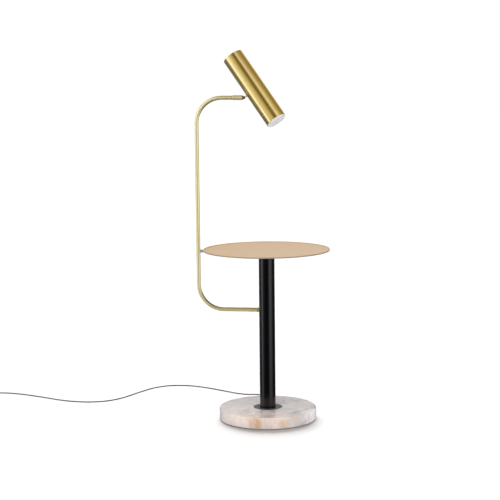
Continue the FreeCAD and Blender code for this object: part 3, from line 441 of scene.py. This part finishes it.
def paint(name, colour, dark, rough, grain=900.0, relief=0.2, spread=0.05):
    """Sprayed or moulded finish: a drifting colour, fine grain and dulled patches."""
    material, f, shader, place = start_material(name)
    grained = f.group(FINE_GRAIN, {"Vector": place, "Grain Scale": grain, "Roughness": rough,
                                   "Spread": spread, "Relief": relief})
    touched = f.group(HANDLING, {"Vector": place, "Amount": 0.35})
    cloud = f.span(f.noise(place, scale=6.0, detail=4.0, rough=0.6), *NOISE_RANGE)
    base = f.blend(f.math("MULTIPLY", cloud, CLOUD_SHARE), colour, dark)
    speck = f.span(grained.outputs["Grain"], *NOISE_RANGE, 0.0, SPECK_SHARE)
    base = f.blend(speck, base, dark)
    dull = f.math("ADD", grained.outputs["Roughness"],
                  f.math("MULTIPLY", touched.outputs["Mask"], PAINT_DULLED))
    wire(f, shader, Base_Color=base, Roughness=dull, Normal=grained.outputs["Normal"])
    return material


# Painted dark reflections on thin tubes, in place of dark cards round them: a darker colour on
# upper and under sides, most towards +X, inside the bends. It stays bright where the normal's Z
# is near a value that goes from the first bright Z to the second between the two heights.
PAINTED_REFLECTION_HEIGHTS = (0.6, 1.2)
PAINTED_REFLECTION_BRIGHT_Z = (-0.14, 0.06)
PAINTED_REFLECTION_OFF_BRIGHT = (0.16, 0.62)     # how far off that Z the painted dark reflection starts, and is full
PAINTED_REFLECTION_ALONG_X = (-0.85, 0.7)        # the normal's X where the painted dark reflection starts, and is full
LINE_RANGE = (0.35, 0.65)
GLOSS_SWING = 0.16                 # how much the lines change the gloss, for a contrast of 1


def metal(name, colour, dark, rough, axis_spot=(0, 0, 0), axis_turn=(0, 0, 0), lines=5200.0,
          relief=0.12, stain=0.5, metallic=1.0, contrast=0.22, tip=None, painted_dark_reflection=None):
    """Plated, lacquered or bare metal with fine turning lines across its axis.

    tip gives two X places and a colour that the metal takes past the second of them, as painted
    shade at the sleeve's end. The last argument gives the colour and strength of painted dark
    reflections on upper and under sides, most towards +X.
    """
    material, f, shader, place = start_material(name)
    along = f.add("ShaderNodeMapping", {"Vector": place, "Location": axis_spot,
                                        "Rotation": axis_turn}, vector_type="TEXTURE")
    brushed = f.group(BRUSHING, {"Vector": along.outputs[0], "Lines": lines, "Relief": relief})
    touched = f.group(HANDLING, {"Vector": place, "Scale": 16.0, "Amount": stain})
    line = f.span(brushed.outputs["Lines"], *LINE_RANGE, 0.0, contrast)
    base = f.blend(line, colour, dark)
    base = f.blend(f.math("MULTIPLY", touched.outputs["Mask"], STAIN_SHARE), base, dark)
    # Painted dark reflections: a darker colour on upper and under sides and towards +X, in
    # place of reflected dark cards.
    if painted_dark_reflection:
        shade, strength = painted_dark_reflection
        facing = f.split(f.add("ShaderNodeTexCoord").outputs["Normal"])
        bright = f.span(f.split(place)["Z"], *PAINTED_REFLECTION_HEIGHTS, *PAINTED_REFLECTION_BRIGHT_Z)
        off_bright = f.math("ABSOLUTE", f.math("SUBTRACT", facing["Z"], bright))
        painted_reflection = f.math("MULTIPLY", f.span(off_bright, *PAINTED_REFLECTION_OFF_BRIGHT, smooth=True),
                      f.span(facing["X"], *PAINTED_REFLECTION_ALONG_X))
        base = f.blend(f.math("MULTIPLY", painted_reflection, strength), base, shade)
    # Painted shade: a darker colour past the second X place, for the shade at the sleeve's end.
    if tip:
        start, full, shade = tip
        base = f.blend(f.span(f.split(place)["X"], start, full, smooth=True), base, shade)
    swing = GLOSS_SWING * contrast
    gloss = f.span(brushed.outputs["Lines"], *NOISE_RANGE, rough - swing, rough + swing)
    gloss = f.math("ADD", gloss, f.math("MULTIPLY", touched.outputs["Mask"], METAL_DULLED))
    wire(f, shader, Base_Color=base, Metallic=metallic, Roughness=gloss,
         Normal=brushed.outputs["Normal"])
    return material


STONE_PALE = rgb(221, 214, 211)
STONE_GREY = rgb(198, 190, 191)
STONE_WARP = 0.11            # how far noise shifts the clouds and the thin veins
PATCH_WARP = 0.3             # share of that shift for the honey patches and the long vein
STONE_CLOUDS = (0.35, 0.68)  # values of the noise where the grey starts, and is full
STONE_GLOSS = (0.2, 0.3)
STONE_IOR = 1.5
FADE_SCALE = 0.8             # scale of the fading of the thin veins, against their own
FADE_RANGE = (0.4, 0.6)
STAIN_RANGE = (0.38, 0.62)
STAIN_STRETCH = (1.0, 1.0, 0.35)     # draws the stains out upwards
STAIN_LOW = 0.45             # how much of a patch shows between its stains
PATCH_CORE = 0.2             # share of a patch's reach in which it is full
# Thin veins: scale of the pattern, width, strength and colour.
THIN_VEINS = [
    (5.0, 0.030, 0.75, rgb(160, 152, 154)),
    (12.0, 0.022, 0.5, rgb(172, 163, 163)),
    (27.0, 0.03, 0.35, rgb(178, 168, 166)),
]
# Honey-coloured patches of the marble, and last painted light that makes its right side whiter:
# place, reach, strength and colour.
HONEY_PATCHES_AND_PAINTED_LIGHT = [
    ((-0.095, -0.160, 0.026), 0.110, 0.75, rgb(240, 219, 206)),
    ((0.030, -0.185, 0.026), 0.120, 0.65, rgb(228, 206, 188)),
    ((-0.046, -0.168, 0.047), 0.034, 0.6, rgb(214, 184, 162)),
    ((0.020, -0.150, 0.047), 0.040, 0.75, rgb(186, 164, 148)),
    ((-0.024, -0.191, 0.022), 0.038, 0.95, rgb(198, 150, 106)),
    ((0.091, -0.170, 0.022), 0.034, 0.7, rgb(196, 162, 126)),
    ((0.132, -0.140, 0.040), 0.030, 0.5, rgb(196, 162, 126)),
    # painted light: the right side whiter, as if lit from the right
    ((0.188, -0.045, 0.022), 0.090, 0.9, rgb(242, 238, 238)),
]
# One long grey vein crosses the top near its right edge, straight but for the warp.
VEIN_NORMAL = (0.794, -0.608, 0.0)
VEIN_REACH = 0.1475          # how far from the foot's middle it runs
VEIN_WIDTH = (0.004, 0.02)   # half its width where it is full, and where it ends
VEIN_START_X = (0.085, 0.14)
VEIN_STRENGTH = 0.9
VEIN_GREY = rgb(142, 135, 138)


def marble():
    """Pale warm marble: grey clouds, thin veins, honey patches near the front edge, and painted
    light on its right side.
    """
    material, f, shader, place = start_material("marble")
    warp = f.add("ShaderNodeTexNoise", {"Vector": place, "Scale": 7.0, "Detail": 4.0,
                                        "Roughness": 0.6}).outputs["Color"]
    shift = f.vector("SCALE", f.vector("SUBTRACT", warp, (0.5, 0.5, 0.5)), STONE_WARP)
    bent = f.vector("ADD", place, shift)
    eased = f.vector("ADD", place, f.vector("SCALE", shift, PATCH_WARP))
    cloud = f.noise(bent, scale=9.0, detail=6.0, rough=0.62)
    base = f.blend(f.span(cloud, *STONE_CLOUDS, smooth=True), STONE_PALE, STONE_GREY)
    for scale, width, strength, shade in THIN_VEINS:
        ridge = f.noise(bent, scale, detail=5.0, rough=0.55, distortion=0.3)
        ridge = f.math("ABSOLUTE", f.math("SUBTRACT", ridge, 0.5))
        vein = f.span(ridge, 0.0, width, strength, 0.0, smooth=True)
        fade = f.span(f.noise(place, scale * FADE_SCALE), *FADE_RANGE, smooth=True)
        base = f.blend(f.math("MULTIPLY", vein, fade), base, shade)
    off_vein = f.math("SUBTRACT", f.vector("DOT_PRODUCT", eased, VEIN_NORMAL), VEIN_REACH)
    vein = f.span(f.math("ABSOLUTE", off_vein), *VEIN_WIDTH, VEIN_STRENGTH, 0.0, smooth=True)
    begun = f.span(f.split(place)["X"], *VEIN_START_X, smooth=True)
    base = f.blend(f.math("MULTIPLY", vein, begun), base, VEIN_GREY)
    drawn = f.vector("MULTIPLY", bent, STAIN_STRETCH)
    stain = f.noise(drawn, scale=34.0, detail=5.0, rough=0.62)
    stain = f.span(stain, *STAIN_RANGE, smooth=True)
    stain = f.span(stain, 0.0, 1.0, STAIN_LOW, 1.0)
    # The last of these patches is painted light, not a stain.
    for spot, reach, strength, shade in HONEY_PATCHES_AND_PAINTED_LIGHT:
        away = f.vector("DISTANCE", eased, spot)
        near = f.span(away, reach * PATCH_CORE, reach, strength, 0.0, smooth=True)
        base = f.blend(f.math("MULTIPLY", near, stain), base, shade)
    touched = f.group(HANDLING, {"Vector": place, "Amount": 0.3})
    crystal = f.noise(place, 420.0)
    gloss = f.math("ADD", f.span(crystal, *NOISE_RANGE, *STONE_GLOSS),
                   f.math("MULTIPLY", touched.outputs["Mask"], STONE_DULLED))
    wire(f, shader, Base_Color=base, Roughness=gloss, IOR=STONE_IOR,
         Normal=f.bump(crystal, strength=0.04, distance=0.0001))
    return material


TRAY_BEIGE = rgb(217, 186, 152)
TRAY_BAND = rgb(213, 183, 152)
TRAY_GRAIN = rgb(206, 178, 148)
# colour of the painted shade on the rim's outer edge
TRAY_RIM_SHADE = rgb(128, 118, 98)
TRAY_BANDS = (0.32, 0.68)            # values of the noise where a band starts, and is full
TRAY_STRETCH = (5.0, 26.0, 5.0)      # scale of the bands along X, Y and Z
RIM_REACH = (0.2482, 0.2492)         # radii between which the rim's outer edge starts
RIM_HEIGHTS = (0.6795, 0.6835)       # its foot, where the painted shade is deepest, and its top
RIM_SHADE_LEVELS = (1.0, 0.25)               # how much painted shade it has at these


def tray_paint():
    """Satin rose-beige powder coat, with painted shade on the outer edge of the rim, deepest at
    its foot.
    """
    material, f, shader, place = start_material("tray_paint")
    grained = f.group(FINE_GRAIN, {"Vector": place, "Grain Scale": 1300.0, "Roughness": 0.5,
                                   "Spread": 0.05, "Relief": 0.25})
    touched = f.group(HANDLING, {"Vector": place, "Scale": 12.0, "Amount": 0.4})
    x, y, z = f.split(place)
    band = f.noise(f.vector("MULTIPLY", place, TRAY_STRETCH), scale=1.0, detail=3.0, rough=0.6)
    base = f.blend(f.span(band, *TRAY_BANDS, smooth=True), TRAY_BEIGE, TRAY_BAND)
    speck = f.span(grained.outputs["Grain"], *NOISE_RANGE, 0.0, TRAY_SPECK_SHARE)
    base = f.blend(speck, base, TRAY_GRAIN)
    # Painted shade on the rim's outer edge, deepest at its foot.
    reach = f.math("SQRT", f.math("ADD", f.math("MULTIPLY", x, x), f.math("MULTIPLY", y, y)))
    painted_rim_shade = f.math("MULTIPLY", f.span(reach, *RIM_REACH), f.span(z, *RIM_HEIGHTS, *RIM_SHADE_LEVELS))
    base = f.blend(painted_rim_shade, base, TRAY_RIM_SHADE)
    dull = f.math("ADD", grained.outputs["Roughness"],
                  f.math("MULTIPLY", touched.outputs["Mask"], PAINT_DULLED))
    wire(f, shader, Base_Color=base, Roughness=dull, Normal=grained.outputs["Normal"])
    return material


head_turn = Matrix.Rotation(-HEAD_SWIVEL, 3, "X") @ Matrix.Rotation(-HEAD_TILT, 3, "Y")
head_axis_spot = PIN_SPOT + head_turn @ Vector((HEAD_OFFSET, 0, 0))
head_axis_turn = tuple(head_turn.to_euler())
ALONG_X = (0, math.pi / 2, 0)

materials = {
    "anti_slip_pad": paint("anti_slip_pad", rgb(142, 136, 132), rgb(128, 122, 118), 0.85,
                           grain=700.0, relief=0.6),
    "marble": marble(),
    "flange_steel": paint("flange_steel", rgb(74, 72, 75), rgb(62, 60, 63), 0.42,
                          grain=1100.0, relief=0.15),
    "black_paint": paint("black_paint", rgb(7, 7, 9), rgb(5, 5, 6), 0.19, grain=1500.0,
                         relief=0.03, spread=0.02),
    "tray_paint": tray_paint(),
    "link_paint": paint("link_paint", rgb(158, 152, 136), rgb(140, 134, 118), 0.45,
                        grain=1300.0),
    # arm_brass and knuckle_brass have painted dark reflections on upper and under sides and
    # inside bends.
    "arm_brass": metal("arm_brass", rgb(244, 231, 178), rgb(235, 221, 166), 0.22,
                       lines=900.0, relief=0.006, stain=0.3, metallic=0.55, contrast=0.04,
                       painted_dark_reflection=(rgb(78, 68, 34), 1.0)),
    "arm_brass_flat": metal("arm_brass_flat", rgb(182, 172, 146), rgb(160, 150, 124), 0.34,
                            PIN_SPOT, ALONG_X, lines=3600.0, metallic=0.5),
    "head_brass": metal("head_brass", rgb(228, 205, 140), rgb(204, 178, 112), 0.22,
                        head_axis_spot, head_axis_turn, relief=0.03),
    # knuckle_brass has painted shade at the sleeve's end, past its tip's second X place.
    "knuckle_brass": metal("knuckle_brass", rgb(240, 223, 174), rgb(218, 198, 146), 0.28,
                           PIN_SPOT, ALONG_X, lines=1800.0, relief=0.03, stain=0.2,
                           metallic=0.5, contrast=0.06, painted_dark_reflection=(rgb(96, 76, 42), 0.9),
                           tip=(-0.0925, -0.0885, rgb(88, 74, 50))),
    "stem_brass": metal("stem_brass", rgb(232, 214, 176), rgb(206, 186, 140), 0.26,
                        PIN_SPOT, ALONG_X, lines=4200.0, metallic=0.5),
    "steel": metal("steel", rgb(190, 192, 194), rgb(150, 152, 155), 0.3, lines=4000.0),
    "aluminium": metal("aluminium", rgb(205, 206, 209), rgb(176, 178, 182), 0.36,
                       lines=2600.0),
    "reflector_foil": metal("reflector_foil", rgb(235, 235, 238), rgb(220, 220, 224), 0.12,
                            relief=0.03, stain=0.1),
    "opal": paint("opal", rgb(226, 226, 227), rgb(218, 218, 221), 0.45, grain=1600.0,
                  relief=0.08, spread=0.03),
    "driver_case": paint("driver_case", rgb(230, 230, 226), rgb(216, 216, 211), 0.5),
    "chip": paint("chip", rgb(238, 214, 96), rgb(226, 196, 74), 0.55, grain=2500.0, relief=0.1),
    "cord_sheath": paint("cord_sheath", rgb(58, 59, 62), rgb(42, 43, 46), 0.55, grain=1200.0,
                         relief=0.3),
    "lead_sheath": paint("lead_sheath", rgb(226, 226, 222), rgb(212, 212, 208), 0.45),
    "black_plastic": paint("black_plastic", rgb(44, 44, 47), rgb(34, 34, 37), 0.5,
                           grain=1500.0, relief=0.4),
    "pin_metal": metal("pin_metal", rgb(214, 214, 208), rgb(186, 186, 180), 0.16,
                       lines=3000.0),
}


def dress(piece, material):
    piece.data.materials.clear()
    piece.data.materials.append(materials[material])


# Pieces whose finish differs from that of their slot.
OWN_FINISH = {"arm_collar": "arm_brass_flat", "head_stem": "stem_brass"}
for part in frame["record"]["subparts"]:
    node = part["node"]
    dress(frame["nodes"][node], OWN_FINISH.get(node, part["material_slot"]))
dress(relief_boot, "black_plastic")
dress(mains_cord, "cord_sheath")
dress(coiled_cord, "cord_sheath")


# ---------------------------------------------------------------- light
# Strength of the world to the eye and to glass, on surfaces, and in gloss.
WORLD_SEEN = 1.0
WORLD_ON_SURFACES = 0.62
WORLD_IN_GLOSS = 0.35

# Azimuth, elevation, strength and softness of each lamp, with its angles in degrees.
KEY_LAMP = (-35, 55, 1.1, 50)
FILL_LAMP = (40, 40, 0.5, 90)
FLOOR_LAMP = (194, 31, 6.0, 56)
FOOT_LAMP = (50, 3, 1.5, 60)


def light_world():
    """White to the eye and to glass, and a softer light on surfaces, dimmer still for gloss."""
    world = bpy.data.worlds.new("studio")
    bpy.context.scene.world = world
    world.use_nodes = True
    f = Finish(world.node_tree)
    rays = f.add("ShaderNodeLightPath").outputs
    clear = f.math("MAXIMUM", rays["Is Camera Ray"], rays["Is Transmission Ray"])
    soft = f.span(rays["Is Glossy Ray"], 0.0, 1.0, WORLD_ON_SURFACES, WORLD_IN_GLOSS)
    back = world.node_tree.nodes["Background"]
    wire(f, back, Color=(1, 1, 1, 1), Strength=f.span(clear, 0.0, 1.0, soft, WORLD_SEEN))


def add_sun(name, azimuth, elevation, strength, softness):
    """A soft distant lamp, returned. Azimuth 0 shines from -Y, and 90 from +X."""
    lamp = bpy.data.lights.new(name, "SUN")
    lamp.energy = strength
    lamp.angle = math.radians(softness)
    sun = bpy.data.objects.new(name, lamp)
    bpy.context.collection.objects.link(sun)
    a, e = math.radians(azimuth), math.radians(elevation)
    source = Vector((math.sin(a) * math.cos(e), -math.cos(a) * math.cos(e), math.sin(e)))
    sun.rotation_euler = source.to_track_quat("Z", "Y").to_euler()
    sun.visible_glossy = False
    return sun


def link_light(name, objects, state):
    """A collection for light linking that takes in, or leaves out, some objects."""
    group = bpy.data.collections.new(name)
    for obj in objects:
        group.objects.link(obj)
    for entry in group.collection_objects:
        entry.light_linking.link_state = state
    return group


# ---------------------------------------------------------------- studio
def lay_floor():
    """White floor that keeps the lamp's shadow."""
    mesh = bpy.data.meshes.new("floor")
    corners = [(x * FLOOR_HALF, y * FLOOR_HALF, FLOOR_Z)
               for x, y in ((-1, -1), (1, -1), (1, 1), (-1, 1))]
    mesh.from_pydata(corners, [], [(0, 1, 2, 3)])
    floor = bpy.data.objects.new("floor", mesh)
    bpy.context.collection.objects.link(floor)
    material, f, shader, place = start_material("floor")
    tooth = f.span(f.noise(place, scale=60.0, detail=3.0), *NOISE_RANGE)
    wire(f, shader, Base_Color=f.blend(tooth, rgb(214, 214, 214), rgb(217, 217, 217)),
         Roughness=0.9, Specular_IOR_Level=0.0)
    mesh.materials.append(material)
    floor.visible_glossy = False
    return floor


WALL_R = 3.0
WALL_LOW = -3.0
WALL_HIGH = 6.0
WALL_SIDES = 96
WALL_CHANGE = (0.8, 1.4)     # heights between which the low lights turn into the high ones
WALL_DUSK = (-0.6, 0.15)     # heights between which the wall dims towards its foot
WALL_FOOT = 0.55             # its brightness there
RAMP_PEAK = 2.5              # level that white stands for in the ramps
DIM_LEVEL = 0.2              # at and below this level a light has the dim tint in full
BRIGHT_TINT = (1.0, 1.03, 1.12)
WARM_TINT = (1.0, 0.74, 0.12)
# Azimuths, as add_sun counts them, and levels of the light from the wall.
LOW_LIGHTS = [
    (-180, 0.6), (-150, 0.35), (-125, 0.24), (-114, 0.2), (-100, 0.18), (-86, 0.25),
    (-77, 0.7), (-70, 2.0), (-62, 2.0), (-55, 0.6), (-46, 0.3), (-31, 0.12), (-15, 0.05),
    (0, 0.01), (14, 0.02), (27, 0.12), (38, 0.65), (50, 1.25), (62, 1.5), (73, 1.05),
    (85, 0.45), (98, 0.12), (115, 0.02), (130, 0.03), (152, 0.3), (180, 0.6),
]
HIGH_LIGHTS = [
    (-180, 0.9), (-150, 0.5), (-130, 0.3), (-93, 0.5), (-80, 1.0), (-68, 1.7), (-52, 1.25),
    (-37, 0.85), (-22, 0.65), (-8, 0.2), (4, 0.12), (14, 0.35), (26, 1.0), (40, 1.2),
    (55, 0.95), (70, 0.75), (103, 0.45), (137, 0.3), (155, 0.6), (180, 0.9),
]


def azimuth_ramp(finish, turn, stops, dim_tint):
    """Light round the studio, from azimuths and levels. Dim parts take a tint."""
    ramp = finish.add("ShaderNodeValToRGB", {0: turn})
    ramp.color_ramp.interpolation = "EASE"
    keys = ramp.color_ramp.elements
    while len(keys) < len(stops):
        keys.new(1.0)
    for key, (azimuth, level) in zip(keys, stops):
        key.position = (azimuth + 180) / 360
        share = min(max(level - DIM_LEVEL, 0.0), 1.0)
        tint = Vector(dim_tint).lerp(Vector(BRIGHT_TINT), share)
        key.color = (*(tint * level / RAMP_PEAK), 1)
    return ramp.outputs["Color"]


def build_studio_wall():
    """Round wall that only gloss sees: its lights and gaps give the metal its stripes."""
    points = []
    faces = []
    for k in range(WALL_SIDES):
        a = 2 * math.pi * k / WALL_SIDES
        points += [(WALL_R * math.sin(a), -WALL_R * math.cos(a), z)
                   for z in (WALL_LOW, WALL_HIGH)]
        after = 2 * ((k + 1) % WALL_SIDES)
        faces.append((2 * k, after, after + 1, 2 * k + 1))
    mesh = bpy.data.meshes.new("studio_wall")
    mesh.from_pydata(points, [], faces)
    wall = bpy.data.objects.new("studio_wall", mesh)
    bpy.context.collection.objects.link(wall)
    material = bpy.data.materials.new("studio_wall")
    material.use_nodes = True
    f = Finish(material.node_tree)
    f.tree.nodes.remove(f.tree.nodes["Principled BSDF"])
    place = f.add("ShaderNodeTexCoord").outputs["Object"]
    x, y, z = f.split(place)
    back = f.math("MULTIPLY", y, -1.0)
    turn = f.span(f.math("ARCTAN2", x, back), -math.pi, math.pi)
    level = f.blend(f.span(z, *WALL_CHANGE, smooth=True),
                    azimuth_ramp(f, turn, LOW_LIGHTS, BRIGHT_TINT),
                    azimuth_ramp(f, turn, HIGH_LIGHTS, WARM_TINT))
    strength = f.span(z, *WALL_DUSK, WALL_FOOT * RAMP_PEAK, RAMP_PEAK)
    glow = f.add("ShaderNodeEmission", {"Color": level, "Strength": strength})
    f.tree.links.new(glow.outputs[0], f.tree.nodes["Material Output"].inputs["Surface"])
    mesh.materials.append(material)
    wall.visible_camera = False
    wall.visible_diffuse = False
    wall.visible_shadow = False
    wall.visible_transmission = False


floor = lay_floor()
light_world()
all_but_floor = link_light("all_but_floor", [floor], "EXCLUDE")
for lamp in (add_sun("key", *KEY_LAMP), add_sun("fill", *FILL_LAMP)):
    lamp.light_linking.receiver_collection = all_but_floor
# The floor's own lamp casts the foot's shadow alone, and the low one lights the foot alone.
foot = [frame["nodes"][node] for node in ("marble_base", "base_pad")]
floor_lamp = add_sun("floor_lamp", *FLOOR_LAMP)
floor_lamp.light_linking.receiver_collection = link_light("floor_alone", [floor], "INCLUDE")
floor_lamp.light_linking.blocker_collection = link_light("foot_alone", foot, "INCLUDE")
foot_lamp = add_sun("foot_lamp", *FOOT_LAMP)
foot_lamp.light_linking.receiver_collection = link_light("foot_parts", foot, "INCLUDE")
build_studio_wall()

scene = bpy.context.scene
scene.view_settings.view_transform = "Standard"

bpy.context.view_layer.update()
